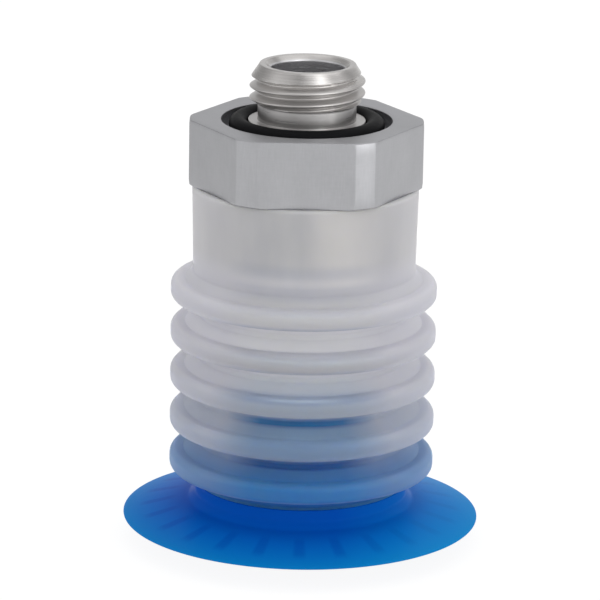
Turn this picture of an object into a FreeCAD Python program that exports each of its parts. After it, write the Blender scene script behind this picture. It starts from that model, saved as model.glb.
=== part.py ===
import FreeCAD, Part
import Sketcher
import os

# Bellows suction cup on a hexagonal threaded holder. Millimetres, +Z up, and
# z = 0 is the plane that the rim of the lip touches.

doc = FreeCAD.newDocument("SuctionCup")
sheet = doc.addObject("Spreadsheet::Sheet", "Dimensions")

SIZES = [
    # lip
    ("lip_radius", 20.3, "outer radius of the lip"),
    ("lip_land_width", 0.5, "flat land that meets the work"),
    ("lip_edge_low", 0.06, "bevel of the lower edge of the rim"),
    ("lip_edge_high", 0.15, "height of the upper edge of the rim"),
    ("skirt_rise", 1.87, "rise of the skirt from the rim to the neck"),
    ("skirt_wall", 0.85, "thickness of the skirt at the neck"),
    ("neck_corner", 0.8, "corner between skirt and neck"),
    ("lip_neck_height", 2.12, "height of the lip's neck"),
    ("collar_play", 0.1, "play between the lip's collar and the bellows"),
    ("collar_wall", 1.9, "wall of the collar"),
    ("collar_length", 6.1, "height of the collar above the seam"),
    ("collar_taper", 0.5, "how much the collar narrows to its top"),
    ("collar_bead_gap", 1.1, "gap between the locking bead and the rim's hollow"),
    ("collar_bead_height", 1.25, "height of the locking bead"),
    ("lock_groove_depth", 0.6, "depth of the groove for the lock ring"),
    ("lock_groove_height", 4.9, "height of that groove"),
    ("lock_groove_drop", 0.15, "how far that groove starts below the seam"),
    ("cleat_start", 0.3, "distance from the neck to the cleats"),
    ("cleat_end", 1.75, "distance from the cleats to the rim"),
    ("cleat_width", 1.3, "width of a cleat"),
    ("cleat_low_inner", 0.5, "height of a cleat's inner end"),
    ("cleat_low_outer", 0.12, "height of a cleat's outer end"),
    ("cleat_count", 24, "cleats around the lip"),
    # lock ring
    ("ring_wall", 1.35, "wall of the lock ring"),
    ("ring_play", 0.05, "play of the lock ring in its groove"),
    ("ring_bevel", 0.5, "bevels of the lock ring"),
    # bellows
    ("foot_height", 0.13, "foot of the bellows below the lowest fold"),
    ("valley_radius", 12.05, "outer radius between two folds"),
    ("valley_wall", 1.2, "wall between two folds"),
    ("valley_height", 0.6, "height of the waist between two folds"),
    ("fold_depth", 3.03, "how far a fold stands out"),
    ("fold_pitch", 5.01, "distance from rim to rim"),
    ("fold_count", 5, "folds"),
    ("rim_width", 1.59, "radial width of the thick rim"),
    ("rim_height", 2.3, "height of the thick rim"),
    ("rim_rounding", 0.8, "rounded edges of the rim"),
    ("rim_wall", 2.13, "wall through the rim"),
    ("rim_hollow_height", 0.8, "height of the hollow behind the rim"),
    ("neck_step", 0.53, "how far the neck stands out from the valleys"),
    ("neck_taper", 0.2, "how much the neck widens to its top"),
    ("neck_height", 9.55, "height of the neck above the folds"),
    ("neck_wall", 1.95, "wall of the neck at its top"),
    ("neck_play", 0.05, "play between neck and spigot"),
    # holder
    ("holder_height", 7.5, "height of the hexagon"),
    ("across_flats", 24.0, "hexagon size"),
    ("corner_height", 1.18, "how far the turned corners stand out from the flats"),
    ("corner_bevel", 0.2, "radial bevel of the corners"),
    ("corner_bevel_rise", 0.12, "axial bevel of the corners"),
    ("spigot_length", 7.5, "length of the spigot inside the neck"),
    ("spigot_wall", 3.3, "wall of the spigot"),
    ("barb_depth", 0.7, "how far the barb stands out"),
    ("barb_rise", 3.6, "height of the barb above the end of the spigot"),
    ("nose_taper", 0.6, "how much the spigot narrows to its end"),
    ("recess_depth", 1.7, "depth of the counterbore in the top face"),
    ("recess_play", 0.85, "gap between the face seal and the counterbore's wall"),
    ("passage_rise", 0.4, "how far the wide air passage goes above the spigot"),
    ("screen_step", 0.6, "step that the filter screen lies against"),
    ("screen_rise", 1.8, "height of that step above the end of the spigot"),
    ("clip_groove_depth", 0.6, "depth of the groove for the filter clip"),
    ("clip_height", 0.8, "height of the filter clip"),
    # nipple
    ("thread_radius", 6.5, "outer radius of the G1/4 thread"),
    ("thread_length", 2.3, "length of the thread"),
    ("thread_start", 0.45, "bevel at the lower end of the thread"),
    ("relief_depth", 0.96, "depth of the thread relief"),
    ("relief_height", 1.93, "height of the thread relief"),
    ("nose_land", 0.58, "flat ring on the top"),
    ("nose_height", 1.71, "axial bevel of the top"),
    ("nipple_bore", 4.2, "radius of the air bore"),
    ("countersink", 0.6, "countersink of the air bore"),
    ("shoulder_radius", 6.6, "round shoulder of the nipple"),
    ("shank_radius", 5.5, "shank in the holder"),
    ("shank_length", 4.7, "length of the shank"),
    ("shank_play", 0.05, "play of the shank in its hole"),
    # seals
    ("o_ring_cord", 1.06, "cord radius of the face seal"),
    ("o_ring_play", 0.05, "play of the face seal around the shoulder"),
    ("seal_cord", 0.45, "cord radius of the nipple seal"),
    ("seal_play", 0.05, "play of the nipple seal in its groove"),
    # filter
    ("screen_thickness", 0.4, "thickness of the filter screen"),
    ("screen_play", 0.05, "play of the screen and its clip"),
    ("screen_hole", 0.55, "radius of the holes in the screen"),
    ("screen_ring_step", 2.1, "distance between rings of holes"),
    ("clip_width", 1.45, "radial width of the filter clip"),
    ("clip_gap", 4.0, "opening of the filter clip"),
]


class Size:
    """A length that keeps its number together with the sheet expression behind it."""

    def __init__(self, value, text):
        self.value = value
        self.text = text

    def combined(self, other, sign):
        other = other if isinstance(other, Size) else Size(other, str(other))
        results = {
            "+": self.value + other.value,
            "-": self.value - other.value,
            "*": self.value * other.value,
        }
        return Size(results[sign], "(%s %s %s)" % (self.text, sign, other.text))

    def __add__(self, other):
        return self.combined(other, "+")

    def __sub__(self, other):
        return self.combined(other, "-")

    def __mul__(self, other):
        return self.combined(other, "*")


class Named:
    pass


size = Named()
for row, (alias, number, meaning) in enumerate(SIZES, start=1):
    sheet.set("A%d" % row, meaning)
    sheet.set("B%d" % row, str(number))
    sheet.setAlias("B%d" % row, alias)
    setattr(size, alias, Size(number, "Dimensions.%s" % alias))
doc.recompute()


def bind(thing, prop, value):
    """Drive one property from the sheet."""
    thing.setExpression(prop, value.text)


def new_body(name):
    body = doc.addObject("PartDesign::Body", name)
    body.Label = name
    return body


def base_plane(body, role):
    return next(f for f in body.Origin.OriginFeatures if f.Role == role)


def new_sketch(body, name, role, height=None):
    """Empty sketch on a base plane, lifted to a height where one is given."""
    sketch = body.newObject("Sketcher::SketchObject", name)
    sketch.AttachmentSupport = [(base_plane(body, role), "")]
    sketch.MapMode = "FlatFace"
    if height is not None:
        bind(sketch, "AttachmentOffset.Base.z", height)
    return sketch


def pin_point(sketch, line, name, kind, axis, value):
    """Fix one coordinate of a corner, on the axis itself where it is zero."""
    if not isinstance(value, Size):
        sketch.addConstraint(Sketcher.Constraint("PointOnObject", line, 1, axis))
        return
    sketch.addConstraint(Sketcher.Constraint(kind, -1, 1, line, 1, value.value))
    sketch.renameConstraint(sketch.ConstraintCount - 1, name)
    bind(sketch, "Constraints.%s" % name, value)


def outline(body, name, role, corners, height=None):
    """Closed outline through corners, each coordinate driven by the sheet."""
    sketch = new_sketch(body, name, role, height)
    spots = []
    for across, along in corners:
        numbers = [v.value if isinstance(v, Size) else 0.0 for v in (across, along)]
        spots.append(FreeCAD.Vector(numbers[0], numbers[1], 0))
    count = len(spots)
    for k in range(count):
        sketch.addGeometry(Part.LineSegment(spots[k], spots[(k + 1) % count]), False)
    for k in range(count):
        sketch.addConstraint(Sketcher.Constraint("Coincident", k, 2, (k + 1) % count, 1))
    for k, (across, along) in enumerate(corners):
        pin_point(sketch, k, "across%d" % k, "DistanceX", -2, across)
        pin_point(sketch, k, "along%d" % k, "DistanceY", -1, along)
    return sketch


def circles(body, name, radii, height, middle=None):
    """Circles in a level plane around the axis, or around a point on the X axis."""
    sketch = new_sketch(body, name, "XY_Plane", height)
    for k, radius in enumerate(radii):
        centre = FreeCAD.Vector(middle.value if middle else 0, 0, 0)
        sketch.addGeometry(
            Part.Circle(centre, FreeCAD.Vector(0, 0, 1), radius.value), False
        )
        if middle:
            sketch.addConstraint(Sketcher.Constraint("PointOnObject", k, 3, -1))
            sketch.addConstraint(
                Sketcher.Constraint("DistanceX", -1, 1, k, 3, middle.value)
            )
            sketch.renameConstraint(sketch.ConstraintCount - 1, "middle%d" % k)
            bind(sketch, "Constraints.middle%d" % k, middle)
        else:
            sketch.addConstraint(Sketcher.Constraint("Coincident", k, 3, -1, 1))
        sketch.addConstraint(Sketcher.Constraint("Radius", k, radius.value))
        sketch.renameConstraint(sketch.ConstraintCount - 1, "radius%d" % k)
        bind(sketch, "Constraints.radius%d" % k, radius)
    return sketch


def turned(body, name, corners, kind="Revolution"):
    """Add or cut the ring that an outline in the XZ plane sweeps around the axis."""
    sketch = outline(body, name + "Outline", "XZ_Plane", corners)
    feature = body.newObject("PartDesign::" + kind, name)
    feature.Profile = sketch
    feature.ReferenceAxis = (sketch, ["V_Axis"])
    feature.Angle = 360
    sketch.Visibility = False
    body.Tip = feature
    doc.recompute()
    return feature


def straight(body, name, sketch, length, kind="Pad", upwards=True, midplane=False):
    """Add or cut the straight prism of a sketch."""
    feature = body.newObject("PartDesign::" + kind, name)
    feature.Profile = sketch
    feature.Midplane = midplane
    feature.Reversed = upwards == (kind == "Pocket")
    bind(feature, "Length", length)
    sketch.Visibility = False
    body.Tip = feature
    doc.recompute()
    return feature


def around(body, name, features, count):
    """Repeat features evenly around the axis."""
    pattern = body.newObject("PartDesign::PolarPattern", name)
    pattern.Originals = features
    pattern.Axis = (base_plane(body, "Z_Axis"), [""])
    pattern.Angle = 360
    if isinstance(count, Size):
        bind(pattern, "Occurrences", count)
    else:
        pattern.Occurrences = count
    body.Tip = pattern
    doc.recompute()
    return pattern


def round_edges(feature, radius):
    """Names of the circular edges of a feature that have a given radius."""
    names = []
    for k, edge in enumerate(feature.Shape.Edges, start=1):
        if isinstance(edge.Curve, Part.Circle) and abs(edge.Curve.Radius - radius) < 1e-4:
            names.append("Edge%d" % k)
    return names


def ring_seal(name, middle, cord, height):
    """Round rubber ring lying level at a height."""
    ring = doc.addObject("Part::Torus", name)
    ring.Label = name
    bind(ring, "Radius1", middle)
    bind(ring, "Radius2", cord)
    bind(ring, "Placement.Base.z", height)
    doc.recompute()
    return ring


# Heights, counted up from the rim of the lip.
skirt_top = size.lip_edge_high + size.skirt_rise
seam = skirt_top + size.lip_neck_height
fold_low = seam + size.foot_height
half_pitch = size.fold_pitch * 0.5
first_rim = fold_low + half_pitch
fold_top = fold_low + size.fold_pitch * size.fold_count
holder_low = fold_top + size.neck_height
holder_top = holder_low + size.holder_height
recess_floor = holder_top - size.recess_depth
spigot_end = holder_low - size.spigot_length
relief_top = holder_top + size.relief_height
thread_low = relief_top + size.thread_start
thread_high = thread_low + size.thread_length
nipple_top = thread_high + size.nose_height

# Radii, counted out from the valleys of the bellows and the shank of the nipple.
rim_radius = size.valley_radius + size.fold_depth
valley_inner = size.valley_radius - size.valley_wall
rim_hollow = rim_radius - size.rim_wall
neck_low_radius = size.valley_radius + size.neck_step
neck_high_radius = neck_low_radius + size.neck_taper
neck_bore = neck_high_radius - size.neck_wall
spigot_radius = neck_bore - size.neck_play
barb_radius = spigot_radius + size.barb_depth
o_ring_middle = size.shoulder_radius + size.o_ring_play + size.o_ring_cord
seal_middle = size.shank_radius + size.shank_play * 2 + size.seal_cord

# Holder: a turned blank with spigot and barb, hollowed from both ends, then
# milled with six flats.
corner_radius = size.across_flats * 0.5 + size.corner_height
recess_radius = o_ring_middle + size.o_ring_cord + size.recess_play
nipple_hole = size.shank_radius + size.shank_play
seal_wall = seal_middle + size.seal_cord + size.seal_play
seal_floor = recess_floor - size.seal_cord * 2
passage_radius = spigot_radius - size.spigot_wall
passage_top = holder_low + size.passage_rise
screen_bore = passage_radius + size.screen_step
screen_seat = spigot_end + size.screen_rise
screen_low = screen_seat - size.screen_thickness
clip_groove = screen_bore + size.clip_groove_depth
clip_low = screen_low - size.clip_height

hex_body = new_body("hex_body")
turned(hex_body, "Blank", [
    (0, spigot_end),
    (spigot_radius - size.nose_taper, spigot_end),
    (barb_radius, spigot_end + size.barb_rise),
    (spigot_radius, spigot_end + size.barb_rise),
    (spigot_radius, holder_low),
    (corner_radius - size.corner_bevel, holder_low),
    (corner_radius, holder_low + size.corner_bevel_rise),
    (corner_radius, holder_top - size.corner_bevel_rise),
    (corner_radius - size.corner_bevel, holder_top),
    (0, holder_top),
])
turned(hex_body, "TopBore", [
    (0, holder_top),
    (recess_radius, holder_top),
    (recess_radius, recess_floor),
    (seal_wall, recess_floor),
    (seal_wall, seal_floor),
    (nipple_hole, seal_floor),
    (nipple_hole, passage_top),
    (0, passage_top),
], "Groove")
turned(hex_body, "AirPassage", [
    (0, passage_top),
    (passage_radius, passage_top),
    (passage_radius, screen_seat),
    (screen_bore, screen_seat),
    (screen_bore, screen_low),
    (clip_groove, screen_low),
    (clip_groove, clip_low),
    (screen_bore, clip_low),
    (screen_bore, spigot_end),
    (0, spigot_end),
], "Groove")
flat_sketch = outline(hex_body, "FlatOutline", "XY_Plane", [
    (size.across_flats * 0.5, corner_radius * -1),
    (corner_radius * 1.2, corner_radius * -1),
    (corner_radius * 1.2, corner_radius),
    (size.across_flats * 0.5, corner_radius),
], holder_low)
flat = straight(hex_body, "Flat", flat_sketch, size.holder_height, "Pocket")
around(hex_body, "Flats", [flat], 6)
hex_body.Placement = FreeCAD.Placement(
    FreeCAD.Vector(0, 0, 0), FreeCAD.Rotation(FreeCAD.Vector(0, 0, 1), 30)
)

# Nipple: plain at the thread's outer radius, with relief, shoulder and shank.
relief_radius = size.thread_radius - size.relief_depth
nose_radius = size.nipple_bore + size.countersink + size.nose_land
shank_low = recess_floor - size.shank_length

threaded_nipple = new_body("threaded_nipple")
turned(threaded_nipple, "Nipple", [
    (0, shank_low),
    (size.shank_radius, shank_low),
    (size.shank_radius, recess_floor),
    (size.shoulder_radius, recess_floor),
    (size.shoulder_radius, holder_top),
    (relief_radius, holder_top),
    (relief_radius, relief_top),
    (size.thread_radius, thread_low),
    (size.thread_radius, thread_high),
    (nose_radius, nipple_top),
    (0, nipple_top),
])
bore_sketch = circles(threaded_nipple, "BoreOutline", [size.nipple_bore], shank_low)
bore = straight(threaded_nipple, "Bore", bore_sketch, nipple_top - shank_low, "Pocket")
mouth = [
    name
    for name in round_edges(bore, size.nipple_bore.value)
    if bore.Shape.getElement(name).CenterOfMass.z > thread_high.value
]
sink = threaded_nipple.newObject("PartDesign::Chamfer", "Countersink")
sink.Base = (bore, mouth)
bind(sink, "Size", size.countersink)
threaded_nipple.Tip = sink
doc.recompute()

# Seals: one in the counterbore of the top face, one under the nipple's shoulder.
face_o_ring = ring_seal(
    "face_o_ring", o_ring_middle, size.o_ring_cord, recess_floor + size.o_ring_cord
)
nipple_seal_ring = ring_seal(
    "nipple_seal_ring", seal_middle, size.seal_cord, recess_floor - size.seal_cord
)

# Filter screen with rings of holes, and the open ring that holds it.
filter_screen = new_body("filter_screen")
disc = circles(filter_screen, "DiscOutline", [screen_bore - size.screen_play], screen_low)
straight(filter_screen, "Disc", disc, size.screen_thickness)
middle_hole = circles(filter_screen, "MiddleHole", [size.screen_hole], screen_low)
straight(filter_screen, "Middle", middle_hole, size.screen_thickness, "Pocket")
for ring in (1, 2, 3):
    spot = size.screen_ring_step * ring
    hole = circles(filter_screen, "Hole%d" % ring, [size.screen_hole], screen_low, spot)
    cut = straight(filter_screen, "Cut%d" % ring, hole, size.screen_thickness, "Pocket")
    around(filter_screen, "HoleRing%d" % ring, [cut], 6 * ring)

clip_outer = clip_groove - size.screen_play
clip_inner = clip_outer - size.clip_width
filter_clip = new_body("filter_clip")
clip_sketch = circles(filter_clip, "ClipOutline", [clip_outer, clip_inner], clip_low)
straight(filter_clip, "Clip", clip_sketch, size.clip_height)
gap_sketch = outline(filter_clip, "GapOutline", "XY_Plane", [
    (clip_inner * 0.9, size.clip_gap * -0.5),
    (clip_outer * 1.1, size.clip_gap * -0.5),
    (clip_outer * 1.1, size.clip_gap * 0.5),
    (clip_inner * 0.9, size.clip_gap * 0.5),
], clip_low)
straight(filter_clip, "Gap", gap_sketch, size.clip_height, "Pocket")

# Bellows: one fold with its thick rim, repeated upwards, then neck and foot.
half_waist = size.valley_height * 0.5
half_rim = size.rim_height * 0.5
half_hollow = size.rim_hollow_height * 0.5
rim_inner_edge = rim_radius - size.rim_width
fold_high = fold_low + size.fold_pitch

bellows = new_body("bellows")
fold = turned(bellows, "Fold", [
    (size.valley_radius, fold_low),
    (size.valley_radius, fold_low + half_waist),
    (rim_inner_edge, first_rim - half_rim),
    (rim_radius, first_rim - half_rim),
    (rim_radius, first_rim + half_rim),
    (rim_inner_edge, first_rim + half_rim),
    (size.valley_radius, fold_high - half_waist),
    (size.valley_radius, fold_high),
    (valley_inner, fold_high),
    (valley_inner, fold_high - half_waist),
    (rim_hollow, first_rim + half_hollow),
    (rim_hollow, first_rim - half_hollow),
    (valley_inner, fold_low + half_waist),
    (valley_inner, fold_low),
])
folds = bellows.newObject("PartDesign::LinearPattern", "Folds")
folds.Originals = [fold]
folds.Direction = (base_plane(bellows, "Z_Axis"), [""])
bind(folds, "Length", size.fold_pitch * (size.fold_count - 1))
bind(folds, "Occurrences", size.fold_count)
bellows.Tip = folds
doc.recompute()

neck_low = fold_top - half_waist
barb_top = spigot_end + size.barb_rise + size.neck_play
barb_room = barb_radius + size.neck_play
turned(bellows, "Neck", [
    (neck_low_radius, neck_low),
    (neck_high_radius, holder_low),
    (neck_bore, holder_low),
    (neck_bore, barb_top),
    (barb_room, barb_top),
    (barb_room, barb_top - size.neck_play * 3),
    (valley_inner, barb_top - size.barb_rise * 0.6),
    (valley_inner, neck_low),
])
foot = turned(bellows, "Foot", [
    (valley_inner, seam),
    (size.valley_radius, seam),
    (size.valley_radius, fold_low + half_waist),
    (valley_inner, fold_low + half_waist),
])
rims = bellows.newObject("PartDesign::Fillet", "RimRounding")
rims.Base = (foot, round_edges(foot, rim_radius.value))
bind(rims, "Radius", size.rim_rounding)
bellows.Tip = rims
doc.recompute()

# Lip: skirt, neck and locking collar in one piece, with cleats underneath.
skirt_start = size.valley_radius + size.neck_corner
skirt_under = skirt_top - size.skirt_wall
neck_corner_top = skirt_top + size.neck_corner
collar_radius = valley_inner - size.collar_play
collar_top_radius = collar_radius - size.collar_taper
collar_top = seam + size.collar_length
bead_radius = rim_hollow - size.collar_bead_gap
bead_high = first_rim + half_hollow
throat_radius = collar_radius - size.collar_wall
lock_radius = throat_radius + size.lock_groove_depth
lock_low = seam - size.lock_groove_drop
lock_high = lock_low + size.lock_groove_height

lip = new_body("lip")
turned(lip, "Skirt", [
    (size.lip_radius - size.lip_edge_low - size.lip_land_width, 0),
    (size.lip_radius - size.lip_edge_low, 0),
    (size.lip_radius, size.lip_edge_low),
    (size.lip_radius, size.lip_edge_high),
    (skirt_start, skirt_top),
    (size.valley_radius, neck_corner_top),
    (size.valley_radius, seam),
    (collar_radius, seam),
    (collar_radius, fold_low + half_waist),
    (bead_radius, bead_high - size.collar_bead_height),
    (bead_radius, bead_high),
    (collar_top_radius, lock_high),
    (collar_top_radius, collar_top),
    (throat_radius, collar_top),
    (throat_radius, lock_high),
    (lock_radius, lock_high),
    (lock_radius, lock_low),
    (throat_radius, lock_low),
    (throat_radius, neck_corner_top),
    (skirt_start, skirt_under),
])
cleat_inner = skirt_start + size.cleat_start
cleat_outer = size.lip_radius - size.cleat_end
cleat_sketch = outline(lip, "CleatOutline", "XZ_Plane", [
    (cleat_inner, size.cleat_low_inner),
    (cleat_outer, size.cleat_low_outer),
    (cleat_outer, size.lip_edge_high),
    (cleat_inner, skirt_under + size.lip_edge_high),
])
cleat = straight(lip, "Cleat", cleat_sketch, size.cleat_width, midplane=True)
around(lip, "Cleats", [cleat], size.cleat_count)

# Lock ring: stiff ring in the groove of the collar.
ring_outer = lock_radius - size.ring_play
ring_inner = ring_outer - size.ring_wall
ring_high = lock_high - size.ring_play
lip_lock_ring = new_body("lip_lock_ring")
turned(lip_lock_ring, "Ring", [
    (ring_inner + size.ring_bevel, lock_low),
    (ring_outer, lock_low),
    (ring_outer, ring_high),
    (ring_inner + size.ring_bevel, ring_high),
    (ring_inner, ring_high - size.ring_bevel),
    (ring_inner, lock_low + size.ring_bevel),
])

PIECES = [
    hex_body,
    threaded_nipple,
    face_o_ring,
    nipple_seal_ring,
    filter_screen,
    filter_clip,
    bellows,
    lip,
    lip_lock_ring,
]

doc.recompute()
for item in doc.Objects:
    if "Invalid" in item.State or "Error" in item.State:
        raise RuntimeError("%s does not build" % item.Label)
os.makedirs("parts", exist_ok=True)
for piece in PIECES:
    shape = piece.Shape
    if shape.isNull() or not shape.isValid() or len(shape.Solids) != 1:
        raise RuntimeError("%s is not one sound solid" % piece.Label)
    shape.exportStep("parts/%s.step" % piece.Label)
    box = shape.BoundBox
    print("%-18s %9.1f mm3  z %6.2f to %6.2f  r %6.2f" % (
        piece.Label, shape.Volume, box.ZMin, box.ZMax, box.XMax
    ))
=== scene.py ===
# %% [markdown]
# A suction cup for a robot hand: a soft blue lip, a milky bellows above it, and a hexagonal
# metal holder with a threaded nipple on top. The solids come from the CAD model as a fixed
# frame. This script adds what the eye needs: rounded edges, a real thread, and the finishes of
# metal, black rubber and translucent silicone. Sizes are in millimetres, with heights measured
# from the rim of the lip, and MM turns them into Blender's metres.

# %% Load the packed parts
import bpy
import numpy as np
from mathutils import Matrix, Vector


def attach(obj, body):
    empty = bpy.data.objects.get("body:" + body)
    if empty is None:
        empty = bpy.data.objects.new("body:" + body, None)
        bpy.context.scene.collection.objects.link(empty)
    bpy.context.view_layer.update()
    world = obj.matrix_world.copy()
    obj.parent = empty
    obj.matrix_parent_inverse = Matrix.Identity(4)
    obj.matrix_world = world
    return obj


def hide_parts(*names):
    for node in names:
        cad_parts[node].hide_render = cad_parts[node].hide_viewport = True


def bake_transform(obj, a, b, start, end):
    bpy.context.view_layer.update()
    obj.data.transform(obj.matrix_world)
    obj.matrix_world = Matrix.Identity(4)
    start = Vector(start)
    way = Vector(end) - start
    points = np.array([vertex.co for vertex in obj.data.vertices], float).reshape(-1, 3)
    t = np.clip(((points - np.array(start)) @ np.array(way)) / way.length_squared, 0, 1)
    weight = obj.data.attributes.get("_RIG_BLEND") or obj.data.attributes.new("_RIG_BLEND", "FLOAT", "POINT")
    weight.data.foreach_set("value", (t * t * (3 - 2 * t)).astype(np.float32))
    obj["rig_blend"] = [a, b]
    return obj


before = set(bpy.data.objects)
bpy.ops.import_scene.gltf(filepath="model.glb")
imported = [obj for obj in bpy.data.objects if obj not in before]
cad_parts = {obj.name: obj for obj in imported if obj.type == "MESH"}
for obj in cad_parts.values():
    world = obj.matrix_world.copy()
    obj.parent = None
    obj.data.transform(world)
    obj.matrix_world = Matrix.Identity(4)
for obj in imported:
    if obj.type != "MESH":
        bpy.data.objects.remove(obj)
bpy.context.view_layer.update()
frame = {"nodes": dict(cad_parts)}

MM = 0.001
print("nodes:", ", ".join(frame["nodes"]))

# %% [markdown]
# The photograph was taken with a long lens from a little above the cup. The camera could be
# aimed by eye, but its place was worked out from the outlines of the rings, which are true
# circles on the object and ellipses in the picture. The camera leans by about one degree.

# %% Place the camera
EYE = np.array([0.0, -451.66, 150.08]) * MM
DIP, YAW, LEAN = np.radians([15.443, -0.053, 1.0])
FOCAL_PIXELS, FRAME_PIXELS = 4128.3, 600
SENSOR_WIDTH = 36.0

ahead = np.array([np.sin(YAW) * np.cos(DIP), np.cos(YAW) * np.cos(DIP), -np.sin(DIP)])
level = np.array([np.cos(YAW), -np.sin(YAW), 0.0])
above = np.cross(level, ahead)
right = np.cos(LEAN) * level + np.sin(LEAN) * above
upward = np.cos(LEAN) * above - np.sin(LEAN) * level

lens = bpy.data.cameras.new("photo_camera")
lens.sensor_width = SENSOR_WIDTH
lens.lens = FOCAL_PIXELS / FRAME_PIXELS * SENSOR_WIDTH
lens.clip_start, lens.clip_end = 0.01, 20.0
camera = bpy.data.objects.new("photo_camera", lens)
placing = np.eye(4)
placing[:3] = np.column_stack([right, upward, -ahead, EYE])
camera.matrix_world = Matrix(placing.tolist())
bpy.context.scene.collection.objects.link(camera)
bpy.context.scene.camera = camera
print("focal length %.1f mm" % lens.lens)

# %% [markdown]
# Every piece of this cup is a ring around one axis, so it starts as an outline: a closed line of
# radius and height. Moulding and turning leave no sharp edge, so the first function rounds the
# corners. The second adds points on long straight runs, so that a bend has something to bend and
# a stored number has somewhere to change. Both work on whole arrays.

# %% Outlines
def rounded(corners, radii, steps=6):
    """Closed outline with an arc at each corner. The arc touches both sides at radius / tan(half
    the angle) from the corner, and its middle lies on the bisector at radius / sin(half)."""
    spot = np.asarray(corners, float)
    back = np.roll(spot, 1, axis=0) - spot
    fore = np.roll(spot, -1, axis=0) - spot
    back /= np.linalg.norm(back, axis=1, keepdims=True)
    fore /= np.linalg.norm(fore, axis=1, keepdims=True)
    half = 0.5 * np.arccos(np.clip((back * fore).sum(axis=1), -1, 1))[:, None]
    radius = np.broadcast_to(radii, len(spot))[:, None]
    bisector = back + fore
    bisector /= np.linalg.norm(bisector, axis=1, keepdims=True)
    middle = spot + bisector * radius / np.sin(half)
    first = spot + back * radius / np.tan(half) - middle
    last = spot + fore * radius / np.tan(half) - middle
    begin = np.arctan2(first[:, 1], first[:, 0])
    turn = np.arctan2(last[:, 1], last[:, 0]) - begin
    turn = (turn + np.pi) % (2 * np.pi) - np.pi
    angle = begin[:, None] + turn[:, None] * np.linspace(0, 1, steps)
    arcs = middle[:, None] + radius[:, None] * np.stack([np.cos(angle), np.sin(angle)], axis=-1)
    return arcs.reshape(-1, 2)


def spread(outline, spacing, low=-np.inf, high=np.inf):
    """The same closed outline, with points added at even distances along it between two heights.
    A new point that falls close to an old one is left out."""
    loop = np.vstack([outline, outline[:1]])
    station = np.append(0, np.cumsum(np.linalg.norm(np.diff(loop, axis=0), axis=1)))
    evenly = np.arange(0, station[-1], spacing)
    height = np.interp(evenly, station, loop[:, 1])
    evenly = evenly[(height > low) & (height < high)]
    apart = np.abs(evenly[:, None] - station).min(axis=1) > 0.3 * spacing
    every = np.sort(np.append(station[:-1], evenly[apart]))
    return np.column_stack([np.interp(every, station, loop[:, side]) for side in (0, 1)])


square = rounded([(0, 0), (1, 0), (1, 1), (0, 1)], 0.1)
print("a square with round corners has", len(square), "points")

# %% [markdown]
# A spin tool could carry an outline around the axis. An array of radius and height with one row
# for each angle does the same, and it can do more: where the radius depends on the angle too,
# the ring becomes a hexagon or a thread.

# %% Rings
def around(count):
    """Angles of the sections of a ring, as a column: section i of n lies at 2 pi i / n."""
    return (2 * np.pi * np.arange(count) / count)[:, None]


def ring_piece(name, radius, height, crease=40):
    """Closed ring: each row holds the section at one angle a, with x = r cos a and y = r sin a.
    Sections run up the outside, so that the faces point outwards. Edges sharper than the crease,
    in degrees, stay sharp."""
    radius, height = np.broadcast_arrays(radius, height)
    angle = around(len(radius))
    points = np.stack([radius * np.cos(angle), radius * np.sin(angle), height], axis=-1)
    index = np.arange(radius.size).reshape(radius.shape)
    beside = np.roll(index, -1, axis=0)
    quads = np.stack(
        [index, beside, np.roll(beside, -1, axis=1), np.roll(index, -1, axis=1)], axis=-1
    )
    mesh = bpy.data.meshes.new(name)
    mesh.vertices.add(radius.size)
    mesh.vertices.foreach_set("co", (points * MM).astype(np.float32).ravel())
    mesh.loops.add(quads.size)
    mesh.loops.foreach_set("vertex_index", quads.astype(np.int32).ravel())
    mesh.polygons.add(index.size)
    mesh.polygons.foreach_set("loop_start", np.arange(0, quads.size, 4, dtype=np.int32))
    mesh.update(calc_edges=True)
    mesh.validate()
    mesh.shade_smooth()
    mesh.set_sharp_from_angle(angle=np.radians(crease))
    piece = bpy.data.objects.new(name, mesh)
    bpy.context.scene.collection.objects.link(piece)
    print("%-16s %6d triangles" % (name, 2 * index.size))
    return piece


def turned_piece(name, outline, count):
    """Ring whose section is the same at all angles."""
    return ring_piece(name, np.tile(outline[:, 0], (count, 1)), outline[:, 1])


print("the sections of a ring of six lie at", np.degrees(around(6)).ravel().round(), "degrees")

# %% [markdown]
# Some things change along a section: how far a point follows a motion, or how much blue shines
# through there. Such a share is one number for each point, worked out from its radius and its
# height. It is stored on the mesh, so that it stays in its place when the piece bends.

# %% Shares along a section
def ramp(place, start, end):
    """0 at the start, 1 at the end, straight between them and level outside."""
    return np.clip((place - start) / (end - start), 0, 1)


def read_off(place, pairs):
    """Value on straight lines between pairs of place and value, level outside them."""
    return np.interp(place, *np.transpose(pairs))


def set_profile(piece, name, values):
    """Store one number for each point of a section, the same all around the ring."""
    layers = piece.data.attributes
    layer = layers.get(name) or layers.new(name, "FLOAT", "POINT")
    count = len(piece.data.vertices) // len(values)
    layer.data.foreach_set("value", np.tile(values, count).astype(np.float32))


print("a quarter of the way up a ramp the share is", ramp(3.0, 2.0, 6.0))

# %% [markdown]
# Finishes are node trees, and node trees are easier to read as sums. A small class wraps one
# socket. Adding, subtracting or multiplying two of them adds a Math node, and one method makes
# every other node: settings first, then the values or links of its sockets.

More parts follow.
